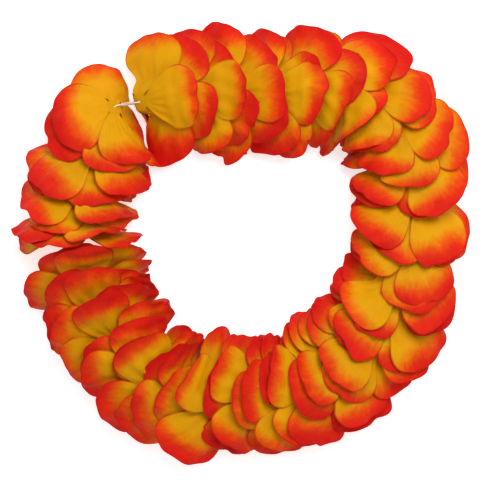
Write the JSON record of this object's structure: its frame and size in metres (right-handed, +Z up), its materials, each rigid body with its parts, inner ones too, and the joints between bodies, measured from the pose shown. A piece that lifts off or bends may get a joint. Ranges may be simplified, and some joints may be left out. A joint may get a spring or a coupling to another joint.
{
  "type": "lei",
  "caption": "Flower lei: a closed loop of yellow fabric blooms with red petal tips, threaded on a thin cord and held apart by clear straws.",
  "frame": {"origin": "middle of the lei's outline, on the surface that it lies on", "axes": "+Z up from that surface, +Y towards the top of the loop as it lies, +X to its right"},
  "size_m": [0.4196, 0.4014, 0.0877],
  "materials": {
    "fabric": "dyed woven polyester, yellow at the middle to red at the tips",
    "straw": "clear, thin walled",
    "thread": "white twisted cord"
  },
  "bodies": {
    "root": {"bloom_01": "fabric", "bloom_02": "fabric", "bloom_03": "fabric", "bloom_04": "fabric", "bloom_05": "fabric", "bloom_06": "fabric", "bloom_07": "fabric", "bloom_08": "fabric", "bloom_09": "fabric", "bloom_10": "fabric", "bloom_11": "fabric", "bloom_12": "fabric", "bloom_13": "fabric", "bloom_14": "fabric", "bloom_15": "fabric", "bloom_16": "fabric", "bloom_17": "fabric", "bloom_18": "fabric", "bloom_19": "fabric", "bloom_20": "fabric", "bloom_21": "fabric", "bloom_22": "fabric", "bloom_23": "fabric", "bloom_24": "fabric", "bloom_25": "fabric", "bloom_26": "fabric", "bloom_27": "fabric", "bloom_28": "fabric", "bloom_29": "fabric", "straw_01": "straw", "straw_02": "straw", "straw_03": "straw", "straw_04": "straw", "straw_05": "straw", "straw_06": "straw", "straw_07": "straw", "straw_08": "straw", "straw_09": "straw", "straw_10": "straw", "straw_11": "straw", "straw_12": "straw", "straw_13": "straw", "straw_14": "straw", "straw_15": "straw", "straw_16": "straw", "straw_17": "straw", "straw_18": "straw", "straw_19": "straw", "straw_20": "straw", "straw_21": "straw", "straw_22": "straw", "straw_23": "straw", "straw_24": "straw", "straw_26": "straw", "straw_27": "straw", "straw_28": "straw", "straw_29": "straw", "thread": "thread"}
  },
  "joints": []
}
